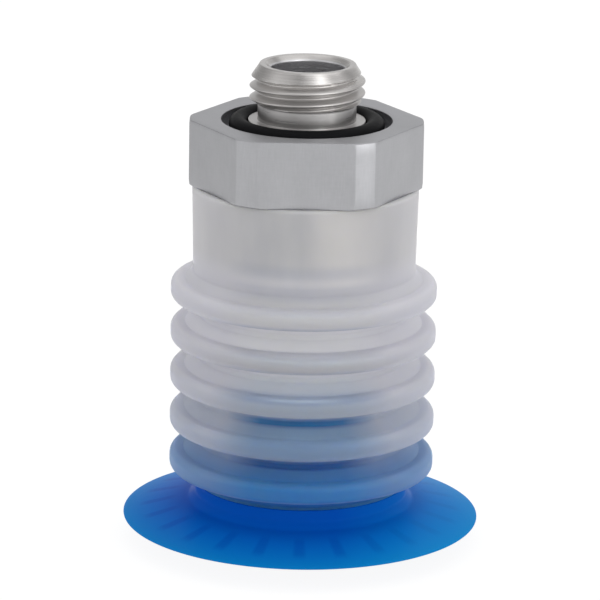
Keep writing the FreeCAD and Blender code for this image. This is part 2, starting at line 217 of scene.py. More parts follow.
# %% Shader sums
class Shade:
    """One output socket of a finish, on which arithmetic can be written."""

    def __init__(self, tree, socket=None):
        self.tree = tree
        self.socket = socket

    def node(self, kind, settings=None, sockets=None, output=0):
        """Any node by its type: its settings, the values or links of its sockets, its output."""
        made = self.tree.nodes.new("ShaderNode" + kind)
        for name, value in (settings or {}).items():
            setattr(made, name, value)
        for name, value in (sockets or {}).items():
            if isinstance(value, Shade):
                self.tree.links.new(value.socket, made.inputs[name])
            else:
                made.inputs[name].default_value = value
        return Shade(self.tree, made.outputs[output] if made.outputs else None)

    def math(self, operation, first, second=0.0, clamp=False):
        settings = {"operation": operation, "use_clamp": clamp}
        return self.node("Math", settings, {0: first, 1: second})

    def __add__(self, other):
        return self.math("ADD", self, other)

    __radd__ = __add__

    def __sub__(self, other):
        return self.math("SUBTRACT", self, other)

    def __rsub__(self, other):
        return self.math("SUBTRACT", other, self)

    def __mul__(self, other):
        return self.math("MULTIPLY", self, other)

    __rmul__ = __mul__

    def clamped(self):
        return self.math("ADD", self, 0.0, clamp=True)

    def rising(self, start, end):
        """0 at the start, 1 at the end, straight between them and level outside."""
        return ((self - start) * (1 / (end - start))).clamped()

    def mixed(self, low, high):
        """Colour between two colours, with this value as the share of the second. Sockets 6 and
        7 and output 2 are those that a Mix node has for colours."""
        return self.node("Mix", {"data_type": "RGBA"}, {0: self, 6: low, 7: high}, 2)

    def merged(self, first, second):
        """Surface between two surfaces, with this value as the share of the second."""
        return self.node("MixShader", {}, {0: self, 1: first, 2: second})

    def bump(self, strength, depth):
        """Normal that reads this value as a height."""
        return self.node("Bump", {}, {"Height": self, "Strength": strength, "Distance": depth})


print("a finish is written with", len([name for name in vars(Shade) if name[0] != "_"]), "words")

# %% [markdown]
# Patterns need to know where they are. A finish can read the place on the piece, which is also
# the place in the cup, because every piece sits at the origin. From that come the height, the
# distance from the axis and the angle around it. Noise and stored shares are read there too.

# %% Places in a finish
def place_at(start):
    """Place on a piece as a vector in metres, or in the world's finish the direction."""
    return start.node("TexCoord", output="Object")


def along(start, axis):
    """Place along X, Y or Z, in metres."""
    return start.node("SeparateXYZ", {}, {"Vector": place_at(start)}, output=axis)


def height_at(start):
    """Height in millimetres."""
    return along(start, "Z") * (1 / MM)


def radius_at(start):
    """Distance from the axis in millimetres, the root of x squared plus y squared."""
    east, north = along(start, "X"), along(start, "Y")
    return start.math("SQRT", east * east + north * north) * (1 / MM)


def bearing_at(start):
    """Angle around the axis, in radians."""
    return start.math("ARCTAN2", along(start, "Y"), along(start, "X"))


def outward_at(start):
    """Level direction away from the axis, of length 1."""
    flat = start.node("Mapping", {}, {"Vector": place_at(start), "Scale": (1, 1, 0)})
    return start.node("VectorMath", {"operation": "NORMALIZE"}, {0: flat})


def noise_at(start, frequency, detail=3.0):
    """Noise with its own number of grains per metre along X, Y and Z."""
    scaled = start.node("Mapping", {}, {"Vector": place_at(start), "Scale": frequency})
    return start.node("TexNoise", {}, {"Vector": scaled, "Scale": 1.0, "Detail": detail})


def stored_at(start, name):
    """Number that set_profile stored on the points of a piece."""
    return start.node("Attribute", {"attribute_name": name}, output="Fac")


print("finishes read sizes in millimetres, %d to a metre" % (1 / MM))

# %% [markdown]
# A finish is a material with an empty node tree, and the start of its sums. Most finishes end in
# one principled surface. Dressing a piece gives it its finish.

# %% Finishes
def new_finish(name):
    """Empty material, and the start of its sums."""
    material = bpy.data.materials.new(name)
    material.use_nodes = True
    material.node_tree.nodes.clear()
    return material, Shade(material.node_tree)


def surface(start, sockets):
    """Close a material with one principled surface."""
    skin = start.node("BsdfPrincipled", {}, sockets)
    start.node("OutputMaterial", {}, {"Surface": skin})


def dress(piece, material):
    """Give a piece its finish."""
    piece.data.materials.clear()
    piece.data.materials.append(material)
    print("%-16s is dressed in %s" % (piece.name, material.name))


print("materials before the finishes:", len(bpy.data.materials))

# %% [markdown]
# The holder is milled from aluminium bar: six ground flats with a fine upright grain, and turned
# corners between them. The grain is noise that is stretched along the axis. It changes the
# colour, the gloss and the height a little. The top face is turned, so it is paler and duller.

# %% Ground aluminium
HOLDER_LOW, HOLDER_TOP = 38.87, 46.37

holder_metal, start = new_finish("ground_aluminium")
upright_grain = noise_at(start, (6000, 6000, 700), 3.0)
level_grain = noise_at(start, (800, 800, 7000), 2.0)
grain = 0.65 * upright_grain + 0.35 * level_grain
blotch = noise_at(start, (260, 260, 180), 2.0)
on_top = height_at(start).rising(HOLDER_TOP - 0.05, HOLDER_TOP - 0.03)
tone = (0.75 * grain + 0.5 * blotch - 0.12).clamped()
tone = tone.mixed((0.34, 0.342, 0.355, 1), (0.48, 0.482, 0.50, 1))
surface(start, {
    "Base Color": (0.2 * on_top).mixed(tone, (0.60, 0.604, 0.635, 1)),
    "Metallic": 1.0,
    "Roughness": 0.30 + 0.14 * grain + 0.13 * on_top,
    "Normal": grain.bump(0.12, 0.00004),
})
print("ground aluminium:", len(start.tree.nodes), "nodes")

# %% [markdown]
# The holder could keep its CAD mesh, but knife edges catch no light. So its section is drawn
# again with small edge radii, and the hexagon is a formula: the radius at an angle is the
# smaller of flat / cos(angle from the nearest flat) and the turned corner, which is bevelled
# towards both ends. The bores and grooves inside stay round.

# %% Holder
FLAT, CORNER = 12.0, 13.18
CORNER_BEVEL, CORNER_BEVEL_RISE = 0.2, 0.12
SPIGOT, SPIGOT_LEAD, SPIGOT_END = 10.78, 0.6, 31.37
BARB, BARB_RISE = 11.48, 3.6
RECESS, RECESS_FLOOR = 9.62, 44.67
SEAL_WALL, SEAL_FLOOR, NIPPLE_HOLE = 6.55, 43.77, 5.55
PASSAGE, PASSAGE_TOP = 7.48, 39.27
SCREEN_BORE, SCREEN_SEAT, SCREEN_LOW = 8.08, 33.17, 32.77
CLIP_GROOVE, CLIP_LOW = 8.68, 31.97
EDGE = 0.09
HOLDER_SECTIONS, HOLDER_SPACING = 720, 0.8

holder_corners = [
    (SPIGOT - SPIGOT_LEAD, SPIGOT_END), (BARB, SPIGOT_END + BARB_RISE),
    (SPIGOT, SPIGOT_END + BARB_RISE), (SPIGOT, HOLDER_LOW), (CORNER, HOLDER_LOW),
    (CORNER, HOLDER_TOP), (RECESS, HOLDER_TOP), (RECESS, RECESS_FLOOR),
    (SEAL_WALL, RECESS_FLOOR), (SEAL_WALL, SEAL_FLOOR), (NIPPLE_HOLE, SEAL_FLOOR),
    (NIPPLE_HOLE, PASSAGE_TOP), (PASSAGE, PASSAGE_TOP), (PASSAGE, SCREEN_SEAT),
    (SCREEN_BORE, SCREEN_SEAT), (SCREEN_BORE, SCREEN_LOW), (CLIP_GROOVE, SCREEN_LOW),
    (CLIP_GROOVE, CLIP_LOW), (SCREEN_BORE, CLIP_LOW), (SCREEN_BORE, SPIGOT_END),
]
holder_outline = spread(rounded(holder_corners, EDGE, 4), HOLDER_SPACING)
across, rise = holder_outline.T
from_flat = around(HOLDER_SECTIONS) % (np.pi / 3) - np.pi / 6
to_end = np.minimum(rise - HOLDER_LOW, HOLDER_TOP - rise)
corner = CORNER - CORNER_BEVEL * ramp(to_end, CORNER_BEVEL_RISE, 0)
hexagon = np.minimum(FLAT / np.cos(from_flat), corner)
face_start = np.where(rise > RECESS_FLOOR, RECESS, SPIGOT)
outer_share = ramp(across, face_start, CORNER) * (rise > HOLDER_LOW - EDGE)
holder_radius = across + outer_share * (hexagon - CORNER)
holder = ring_piece("hexagon_holder", holder_radius, rise, crease=30)
dress(holder, holder_metal)
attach(holder, "holder")
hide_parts("hex_body")

# %% [markdown]
# The nipple is turned, so its grain is noise in rings around it. The thread is a little rougher,
# and its roots and the relief below it are a little darker: painted shade in those hollows. The
# bore is a little brighter. Where those zones lie follows from the radius and the height.

# %% Turned aluminium
MAJOR, THREAD_HIGH = 6.5, 51.05
RELIEF, RELIEF_TOP = 5.54, 48.3
BORE = 4.2

nipple_metal, start = new_finish("turned_aluminium")
rings = noise_at(start, (120, 120, 7000), 3.0)
radius, height = radius_at(start), height_at(start)
in_thread = height.rising(THREAD_HIGH + 0.05, THREAD_HIGH - 0.15) * radius.rising(5.0, 5.2)
in_root = in_thread * radius.rising(MAJOR - 0.3, MAJOR - 0.63)
in_relief = in_thread * height.rising(RELIEF_TOP + 0.2, RELIEF_TOP)
in_bore = radius.rising(BORE + 0.2, BORE + 0.09)
tone = rings.mixed((0.42, 0.405, 0.395, 1), (0.66, 0.642, 0.63, 1))
# painted shade in the roots of the thread and in the relief below it
tone = in_root.mixed(tone, (0.50, 0.486, 0.476, 1))
tone = in_relief.mixed(tone, (0.51, 0.497, 0.49, 1))
tone = in_bore.mixed(tone, (0.68, 0.675, 0.69, 1))
surface(start, {
    "Base Color": tone,
    "Metallic": 0.88,
    "Roughness": 0.18 + 0.14 * rings + 0.05 * in_thread,
    "Normal": rings.bump(0.10, 0.00003),
})
print("turned aluminium:", len(start.tree.nodes), "nodes")

# %% [markdown]
# The thread is a G1/4 pipe thread, right-handed, 19 threads to the inch. A screw modifier could
# make it, but its ends would have to be trimmed. As a formula it is short: the radius depends on
# height minus pitch times angle, and the smaller of thread and blank is kept, so the thread runs
# out into the relief below and the bevel above by itself.

# %% Threaded nipple
THREAD_PITCH, THREAD_DEPTH = 25.4 / 19, 0.856
FLANK_SLOPE, FLANK_END, CREST_BEND = 1.28, 0.6, 1.45
THREAD_LOW, FIRST_CREST = 48.75, 48.87
NOSE, NOSE_PLAIN, NIPPLE_TOP = 5.38, 0.8, 52.76
COUNTERSINK = 0.6
SHANK, SHANK_LOW, SHOULDER = 5.5, 39.97, 6.6
NIPPLE_EDGE = 0.05
NIPPLE_SECTIONS, NIPPLE_SPACING, THREAD_SPACING = 360, 0.5, 0.045


def rounded_wave(turns):
    """Wave from -1 to 1 with a crest at each whole turn: a straight slope on the flanks, and a
    parabola over every crest and root, where the wave is past the end of the flank."""
    zigzag = 1 - 4 * np.abs(turns - np.round(turns))
    bent = np.sign(zigzag) * (1 - CREST_BEND * (1 - np.abs(zigzag)) ** 2)
    return np.where(np.abs(zigzag) < FLANK_END, FLANK_SLOPE * zigzag, bent)


nipple_corners = [
    (BORE, SHANK_LOW), (SHANK, SHANK_LOW), (SHANK, RECESS_FLOOR), (SHOULDER, RECESS_FLOOR),
    (SHOULDER, HOLDER_TOP), (RELIEF, HOLDER_TOP), (RELIEF, RELIEF_TOP), (MAJOR, THREAD_LOW),
    (MAJOR, THREAD_HIGH), (NOSE, NIPPLE_TOP), (BORE + COUNTERSINK, NIPPLE_TOP),
    (BORE, NIPPLE_TOP - COUNTERSINK),
]
blank = spread(rounded(nipple_corners, NIPPLE_EDGE, 3), NIPPLE_SPACING)
across, rise = spread(blank, THREAD_SPACING, RELIEF_TOP, NIPPLE_TOP - NOSE_PLAIN).T
part_turn = (around(NIPPLE_SECTIONS) - np.pi) / (2 * np.pi)
wave = rounded_wave((rise - FIRST_CREST) / THREAD_PITCH - part_turn)
thread = MAJOR - 0.5 * THREAD_DEPTH * (1 - wave)
threaded = (across > RELIEF + NIPPLE_EDGE) & (rise > RELIEF_TOP)
nipple_radius = np.where(threaded, np.minimum(thread, across), across)
nipple = ring_piece("screw_nipple", nipple_radius, rise, crease=50)
dress(nipple, nipple_metal)
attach(nipple, "holder")
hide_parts("threaded_nipple")

# %% [markdown]
# The face seal and the small seal under the nipple are black rubber rings. Their CAD solids are
# true tori already, so they stay and only get a finish: dull black with a faint mottle, and a
# roughness that breaks up the highlight.

# %% Black rubber
seal_rubber, start = new_finish("black_rubber")
mottle = noise_at(start, (2400, 2400, 2400), 4.0)
surface(start, {
    "Base Color": mottle.mixed((0.004, 0.004, 0.005, 1), (0.010, 0.010, 0.011, 1)),
    "Roughness": 0.38 + 0.2 * mottle,
    "Specular IOR Level": 0.05,
    "Normal": mottle.bump(0.15, 0.00003),
})
for seal in ("face_o_ring", "nipple_seal_ring"):
    dress(frame["nodes"][seal], seal_rubber)

# %% [markdown]
# Inside the holder a punched steel disc keeps dirt out of the vacuum line, and an open spring
# ring holds it. The lip has a stiff blue ring inside its collar. They show only from below or as
# a shade through the bellows, so their CAD solids stay and get a finish.

# %% Hidden inner pieces
filter_steel, start = new_finish("filter_steel")
scratch = noise_at(start, (900, 4000, 900), 3.0)
surface(start, {
    "Base Color": scratch.mixed((0.42, 0.42, 0.42, 1), (0.60, 0.60, 0.60, 1)),
    "Metallic": 1.0,
    "Roughness": 0.30 + 0.2 * scratch,
})
for steel in ("filter_screen", "filter_clip"):
    dress(frame["nodes"][steel], filter_steel)

ring_plastic, start = new_finish("ring_plastic")
speckle = noise_at(start, (1500, 1500, 1500), 3.0)
surface(start, {
    "Base Color": speckle.mixed((0.004, 0.16, 0.50, 1), (0.008, 0.22, 0.62, 1)),
    "Roughness": 0.4 + 0.2 * speckle,
})
dress(frame["nodes"]["lip_lock_ring"], ring_plastic)

# %% [markdown]
# The bellows is moulded in one piece of clear silicone with a frosted surface. Light goes through
# a thin wall and is only blurred, and in a thick rim it is scattered until it looks milky. So the
# finish has two kinds of wall, one to look through and one that scatters, and mixes them by
# shares that are stored at the points of the mesh. The blue of the lip that glows in the lower
# folds could be left to the light alone, but the few bounces of a render don't carry it far
# enough, so that blue glow is painted into the colour by stored shares, with painted shade and
# painted highlights.

# %% Two kinds of silicone wall
SILICONE_IOR = 1.41
bellows_silicone, start = new_finish("frosted_silicone")
frost = noise_at(start, (3200, 3200, 3200), 3.0)
grain = frost.bump(0.12, 0.00004)


def clear_wall(tone):
    """Frosted wall that is looked through."""
    return start.node("BsdfPrincipled", {}, {
        "Base Color": tone,
        "Roughness": 0.34 + 0.10 * frost,
        "IOR": SILICONE_IOR,
        "Transmission Weight": 1.0,
        "Normal": grain,
    })


def milky_wall(tone):
    """Wall so thick that light only scatters in it."""
    return start.node("BsdfPrincipled", {}, {
        "Base Color": tone,
        "Roughness": 0.5,
        "IOR": SILICONE_IOR,
        "Subsurface Weight": 1.0,
        "Subsurface Radius": (1.0, 1.0, 1.1),
        "Subsurface Scale": 0.0015,
        "Normal": grain,
    })


print("silicone bends light by an index of", SILICONE_IOR)

# %% [markdown]
# Seen from the front, the wall takes four stored shares in turn, all painted light and shade: soft
# dark lines where rims shade it, the blue glow of the lip, a deep blue shade in the lowest valleys,
# and pale edges that are painted highlights. The neck is cloudy, and the metal spigot it sits on
# is painted through it as three bright lobes, a painted reflection.

# %% Silicone from the front
CLEAR_BLUE = (0.05, 0.72, 1.0, 1)
MILKY_BLUE = (0.008, 0.38, 1.0, 1)
PALE = (0.99, 0.98, 1.0, 1)

# stored painted light and shade: dark shade lines, blue glow, deep valley shade, pale highlights
line = stored_at(start, "line_share").clamped()
blue = stored_at(start, "blue_share").clamped()
deep = stored_at(start, "deep_share").clamped()
pale = stored_at(start, "pale_share").clamped()
on_neck = stored_at(start, "neck_share")
milk = stored_at(start, "milk_share")

plain = frost.mixed((0.958, 0.955, 0.98, 1), (0.99, 0.985, 1.0, 1))
tinted = line.mixed(plain, (0.45, 0.54, 0.72, 1))
tinted = blue.mixed(tinted, CLEAR_BLUE)
tinted = deep.mixed(tinted, (0.004, 0.28, 0.66, 1))
tinted = pale.mixed(tinted, PALE)

cloud = noise_at(start, (330, 330, 120), 2.0)
# painted reflection of the metal spigot: three bright lobes around the neck
lobe = (1.6 * start.math("COSINE", 3 * bearing_at(start) + 3.6) - 0.6).clamped()
neck_tone = cloud.mixed((0.61, 0.615, 0.645, 1), (0.81, 0.805, 0.805, 1))
neck_tone = (0.6 * lobe).mixed(neck_tone, (0.98, 0.95, 0.93, 1))
moulded = on_neck.mixed((0.92, 0.91, 0.95, 1), neck_tone)
milky = line.mixed(moulded, (0.30, 0.35, 0.48, 1))
milky = (0.9 * blue).mixed(milky, MILKY_BLUE)
milky = deep.mixed(milky, (0.002, 0.15, 0.46, 1))
milky = pale.mixed(milky, PALE)
front = milk.merged(clear_wall(tinted), milky_wall(milky))
print("front of the silicone:", len(start.tree.nodes), "nodes")

# %% [markdown]
# At the sides of a ring one looks along the wall, through more silicone, so it is milkier there
# and less of the blue comes through. Layer Weight says how far a face is turned away, and it
# only chooses between the walls, as it does for glass. The first one reads the level direction
# outwards, so the sloping faces of a rim don't count as its sides. The second reads the face
# itself, for the thin edge at the outline.

# %% Silicone from the side
SIDE_BLUE = (0.008, 0.23, 0.60, 1)
SIDE_SHADE, EDGE_SHARE = 0.3, 0.85

side_blue = stored_at(start, "side_blue").clamped()
upright = stored_at(start, "upright")
# painted shade: the sides take a darker grey than the front, and a weaker painted blue glow
side_plain = on_neck.mixed((0.58, 0.58, 0.67, 1), (0.58, 0.57, 0.59, 1))
shade = {0: SIDE_SHADE, 6: moulded, 7: side_plain}
side_milky = start.node("Mix", {"data_type": "RGBA"}, shade, 2)
side_milky = (0.9 * side_blue).mixed(side_milky, SIDE_BLUE)
side_milky = pale.mixed(side_milky, PALE)
side_tinted = side_blue.mixed(plain, CLEAR_BLUE)
side_milk = milk + (0.8 - 0.8 * milk) * (0.7 - 0.45 * upright)
side = side_milk.merged(clear_wall(side_tinted), milky_wall(side_milky))

# painted shade: the thin edge at the outline is darker too
edge_plain = on_neck.mixed((0.64, 0.64, 0.72, 1), (0.64, 0.63, 0.655, 1))
edge = milky_wall((0.9 * side_blue).mixed(edge_plain, SIDE_BLUE))

turned_away = {"Blend": 0.5, "Normal": outward_at(start)}
aside = start.node("LayerWeight", {}, turned_away, output="Facing")
edgewise = start.node("LayerWeight", {}, {"Blend": 0.35}, output="Facing")
wall = (1.6 - 5 * aside).clamped().merged(side, front)
wall = (EDGE_SHARE * edgewise * upright).merged(wall, edge)
start.node("OutputMaterial", {}, {"Surface": wall})
print("frosted silicone:", len(start.tree.nodes), "nodes")

# %% [markdown]
# Each fold has a thick rim on two thin sloping walls. One fold is drawn once and repeated by
# adding the pitch. The outside runs upwards and the inside downwards, which closes the section.
# The neck on top fits the spigot of the holder and its barb.

# %% Bellows folds
FOLD_LOW, FOLD_PITCH, FOLDS = 4.27, 5.01, 5
VALLEY, VALLEY_INNER, HALF_WAIST, VALLEY_ROUNDING = 12.05, 10.85, 0.3, 0.25
RIM, HALF_RIM, RIM_ROUNDING = 15.08, 1.15, 0.8
RIM_SHELF, SHELF_ROUNDING = 13.49, 0.15
RIM_HOLLOW, HALF_HOLLOW, HOLLOW_ROUNDING = 12.95, 0.4, 0.35
NECK_LOW, NECK_HIGH, NECK_BORE = 12.58, 12.78, 10.83
BARB_ROOM, BARB_TOP, BARB_FLANK, BARB_SEAT = 11.53, 35.02, 2.2, 0.15
BELLOWS_SECTIONS, FOLD_SPACING = 144, 0.35

half_pitch = FOLD_PITCH / 2
fold_middle = FOLD_LOW + FOLD_PITCH * (np.arange(FOLDS) + 0.5)
fold_top = FOLD_LOW + FOLD_PITCH * FOLDS
waist_low, waist_high = half_pitch - HALF_WAIST, half_pitch + HALF_WAIST

# rows of radius, height and corner radius, with heights from the middle of a fold
outside = np.array([
    (RIM_SHELF, -HALF_RIM, SHELF_ROUNDING), (RIM, -HALF_RIM, RIM_ROUNDING),
    (RIM, HALF_RIM, RIM_ROUNDING), (RIM_SHELF, HALF_RIM, SHELF_ROUNDING),
    (VALLEY, waist_low, VALLEY_ROUNDING), (VALLEY, waist_high, VALLEY_ROUNDING),
])
inside = np.array([
    (VALLEY_INNER, waist_high, VALLEY_ROUNDING), (VALLEY_INNER, waist_low, VALLEY_ROUNDING),
    (RIM_HOLLOW, HALF_HOLLOW, HOLLOW_ROUNDING), (RIM_HOLLOW, -HALF_HOLLOW, HOLLOW_ROUNDING),
])
# the same with heights from the rim of the lip
neck = np.array([
    (NECK_LOW, fold_top - HALF_WAIST, 0.4), (NECK_HIGH, HOLDER_LOW, 0.35),
    (NECK_BORE, HOLDER_LOW, 0.1), (NECK_BORE, BARB_TOP, 0.1), (BARB_ROOM, BARB_TOP, 0.05),
    (BARB_ROOM, BARB_TOP - BARB_SEAT, 0.05), (VALLEY_INNER, BARB_TOP - BARB_FLANK, 0.4),
    (VALLEY_INNER, fold_top - HALF_WAIST, VALLEY_ROUNDING),
])
lift = fold_middle[:, None, None] * np.array([0, 1, 0])
outer_wall = (outside + lift).reshape(-1, 3)[:-2]
inner_wall = (inside + lift)[::-1].reshape(-1, 3)[2:]
section = np.vstack([outer_wall, neck, inner_wall])
folds_outline = spread(rounded(section[:, :2], section[:, 2], 6), FOLD_SPACING)
folds = turned_piece("bellows_folds", folds_outline, BELLOWS_SECTIONS)
dress(folds, bellows_silicone)

# %% [markdown]
# The shares that the silicone reads could come from the light, but it would need far more
# bounces. They are painted light and shade instead: pairs of a height and a share, tuned until the
# render looked like the photograph. The painted blue glow is strongest near the lip and fades
# upwards. Painted dark lines of shade lie under each rim and along its top, and two at the root of
# the neck, the lowest valleys are painted a deep blue shade, and pale highlights are painted under
# the lower rims and at the top of the neck.

# %% What shows in the folds
BLUE_GLOW = [
    (7.5, 1.0), (8.0, 0.90), (9.3, 0.76), (10.6, 0.45), (12.9, 0.48), (14.3, 0.52), (15.6, 0.20),
    (18.0, 0.18), (21.0, 0.04), (30.0, 0.0),
]
SIDE_GLOW = [
    (5.5, 0.85), (8.2, 0.75), (9.3, 0.45), (10.4, 0.22), (13.0, 0.13), (15.0, 0.06), (20.0, 0.0),
]
MILK = [
    (5.5, 0.40), (9.0, 0.30), (13.0, 0.27), (17.0, 0.32), (21.0, 0.40), (25.5, 0.53),
    (fold_top - 1, 0.58), (fold_top + 1.5, 0.75),
]
WALL_MILK = [(13.0, 0.0), (17.5, 0.25), (20.0, 0.6), (22.5, 0.5), (25.0, 0.5), (27.0, 0.0)]
TOP_LINES = [(16.8, 0.12), (17.3, 0.55), (18.2, 0.55), (20.0, 0.12)]
UNDER_LINES = [(15.7, 0.05), (20.0, 1.0)]
ROOT_LINES = [
    (28.2, 0.0), (28.8, 0.2), (29.9, 0.2), (30.4, 0.0), (30.8, 0.06), (31.4, 0.22), (31.9, 0.22),
    (32.8, 0.0),
]
DEEP_TOP, EDGE_TOP = 15.5, 17.0
SHELF_IN, SHELF_OUT = 13.4, 13.6

across, rise = folds_outline.T
from_middle = (rise - FOLD_LOW) % FOLD_PITCH - half_pitch
from_valley = (rise - FOLD_LOW + half_pitch) % FOLD_PITCH - half_pitch
on_outside = np.arange(len(rise)) <= np.argmax(rise)
on_folds = on_outside * (rise < fold_top - HALF_WAIST)
on_wall = ramp(across, SHELF_OUT, SHELF_IN) * on_folds
in_valley = np.where(from_valley > 0, ramp(across, 12.9, 12.5), ramp(across, 12.42, 12.17))
in_valley *= ramp(from_valley, -0.5, -0.25) * on_folds
under_rim = ramp(from_middle, -0.7, -1.05) * (across > SHELF_OUT) * on_folds
over_rim = ramp(from_middle, 0.4, 0.8) * ramp(across, SHELF_IN, SHELF_OUT) * on_folds
rim_lines = 0.8 * under_rim * read_off(rise, UNDER_LINES) + over_rim * read_off(rise, TOP_LINES)
neck_end = ramp(rise, HOLDER_LOW - 0.4, HOLDER_LOW - 0.1)
slope = np.roll(folds_outline, -1, axis=0) - np.roll(folds_outline, 1, axis=0)

# painted light and shade stored on the folds: blue glow, deep valley shade, dark lines, pale highlights
folds_shares = {
    "blue_share": read_off(rise, BLUE_GLOW),
    "side_blue": read_off(rise, SIDE_GLOW),
    "deep_share": in_valley * (rise < DEEP_TOP),
    "milk_share": read_off(rise, MILK) + on_wall * read_off(rise, WALL_MILK),
    "line_share": rim_lines + on_outside * read_off(rise, ROOT_LINES),
    "pale_share": 0.35 * under_rim * (rise < EDGE_TOP) + 0.12 * neck_end,
    "neck_share": ramp(rise, fold_top - 1, fold_top + 3),
    "upright": (slope[:, 1] / np.linalg.norm(slope, axis=1)) ** 2,
}
for name, values in folds_shares.items():
    set_profile(folds, name, values)
    print("%-10s from %.2f to %.2f" % (name, values.min(), values.max()))

# %% [markdown]
# The lowest wall of the bellows bends when the lip tilts, so it is a piece of its own. It joins
# the lowest rim at a slanting cut and stands on the lip, whose blue glow and the shade under the
# rim are painted on it in full.

# %% Bellows foot
SEAM = 4.14
FOOT_SPACING = 0.25

shelf_low = fold_middle[0] - HALF_RIM
hollow_low = fold_middle[0] - HALF_HOLLOW
foot_high = FOLD_LOW + HALF_WAIST
foot_section = np.array([
    (VALLEY_INNER, SEAM, 0.08), (VALLEY, SEAM, 0.12), (VALLEY, foot_high, 0.2),
    (RIM_SHELF, shelf_low, 0.05), (RIM_HOLLOW, hollow_low, 0.05), (VALLEY_INNER, foot_high, 0.2),
])
foot_outline = spread(rounded(foot_section[:, :2], foot_section[:, 2], 5), FOOT_SPACING)
foot = turned_piece("bellows_foot", foot_outline, BELLOWS_SECTIONS)
dress(foot, bellows_silicone)
# painted light and shade: the foot takes the full blue glow and a deep blue shade
foot_shares = {
    "blue_share": 1.0, "side_blue": 1.0, "deep_share": 0.55, "milk_share": 0.5, "upright": 1.0,
    "line_share": 0.0, "pale_share": 0.0, "neck_share": 0.0,
}
for name, share in foot_shares.items():
    set_profile(foot, name, np.full(len(foot_outline), share))

# %% [markdown]
# When the cup touches the work, the rims keep their shape and the walls between them close. A
# smooth blend over the whole height would squeeze the rims too. So each point gets its own share
# of the stroke: level across a rim, and rising over the gap to the next one. The lowest valley
# lies close around the collar of the lip, so it goes along with the lip for longer. The foot
# follows the tilt of the lip by its distance from the slanting cut.

# %% How the bellows moves
TOP_SHARE = 0.06
VALLEY_SHARES = 0.985, 0.935

rim_share = TOP_SHARE + (1 - TOP_SHARE) * np.arange(FOLDS)[::-1] / (FOLDS - 1)
rim_ends = np.column_stack([fold_middle - HALF_RIM, fold_middle + HALF_RIM]).ravel()
heights = np.append(rim_ends, fold_top - HALF_WAIST)
shares = np.append(np.repeat(rim_share, 2), 0.0)
# the lowest valley comes after the two ends of the lowest rim
lowest_valley = fold_middle[0] + np.array([waist_low, waist_high])
heights = np.insert(heights, 2, lowest_valley)
shares = np.insert(shares, 2, VALLEY_SHARES)
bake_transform(folds, "holder", "bellows", start=(0, 0, fold_top * MM), end=(0, 0, shelf_low * MM))
set_profile(folds, "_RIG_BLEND", np.interp(folds_outline[:, 1], heights, shares))
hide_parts("bellows")

cut = np.array([RIM_HOLLOW - RIM_SHELF, hollow_low - shelf_low])
from_cut = np.array([-cut[1], cut[0]]) / np.linalg.norm(cut)
cut_corner = np.array([RIM_SHELF, shelf_low])
distance = (foot_outline - cut_corner) @ from_cut
wall_length = (np.array([VALLEY, foot_high]) - cut_corner) @ from_cut
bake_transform(foot, "bellows", "lip_ring", start=(0, 0, shelf_low * MM), end=(0, 0, SEAM * MM))
set_profile(foot, "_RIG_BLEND", ramp(distance, 0, wall_length))
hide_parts("bellows")
print("rims take %s of the stroke" % np.round(rim_share, 2))

# %% [markdown]
# The lip is a softer silicone, dyed blue. It is thin at its rim, and the light that comes through
# it is painted: brighter outside and darker at the neck, and lighter on the right side, where more
# light comes through. The cleats underneath are painted as darker bars of shade, drawn from the
# angle around the axis. The collar stands in the light inside the bellows, so it is painted
# brighter.

# %% Blue silicone
CLEATS = 24
LIP = 20.3
BAR_STARTS, BAR_ENDS = (14.0, 15.11), (18.6, 17.49)
RIGHT_START, RIGHT_RISE = 0.004, 90

lip_silicone, start = new_finish("blue_silicone")
radius = radius_at(start)
# painted light: brighter towards the thin rim of the lip
outwards = radius.rising(LIP - 8, LIP)
# painted shade: darker bars over the cleats underneath
bars = (start.math("COSINE", CLEATS * bearing_at(start)) * 2.2 - 0.9).clamped()
bars = bars * radius.rising(*BAR_STARTS) * radius.rising(*BAR_ENDS)
# painted light: lighter on the right side
to_right = ((along(start, "X") - RIGHT_START) * RIGHT_RISE).clamped()
outwards = outwards * (0.3 + 0.7 * outwards)
skin_tone = outwards.mixed((0.0012, 0.112, 0.57, 1), (0.003, 0.225, 0.63, 1))
skin_tone = (0.4 * bars).mixed(skin_tone, (0.0006, 0.070, 0.44, 1))
skin_tone = (0.35 * to_right).mixed(skin_tone, (0.006, 0.36, 0.78, 1))
skin_tone = stored_at(start, "collar_share").mixed(skin_tone, (0.003, 0.33, 0.80, 1))
mist = noise_at(start, (2000, 2000, 2000), 3.0)
surface(start, {
    "Base Color": skin_tone,
    "Roughness": 0.26 + 0.10 * mist,
    "IOR": SILICONE_IOR,
    "Specular IOR Level": 0.02,
    "Normal": mist.bump(0.03, 0.00003),
})
print("blue silicone:", len(start.tree.nodes), "nodes")

# %% [markdown]
# The lip is one moulding: a thin skirt that seals, a neck, and a collar that snaps into the
# bellows. Its section is drawn first, as for the other rings, from the rim of the skirt up the
# outside and down the throat, with the groove of the stiff ring.

# %% Section of the lip
LAND, EDGE_LOW, EDGE_HIGH = 0.5, 0.06, 0.15
SKIRT_START, SKIRT_TOP, SKIRT_WALL, NECK_CORNER = 12.85, 2.02, 0.85, 0.8
COLLAR, COLLAR_TOP_RADIUS, COLLAR_TOP = 10.75, 10.25, 10.24
BEAD, BEAD_LOW, BEAD_HIGH = 11.85, 5.925, 7.175
THROAT, GROOVE, GROOVE_LOW, GROOVE_HIGH = 8.85, 9.45, 3.99, 8.89
LIP_SPACING = 0.4

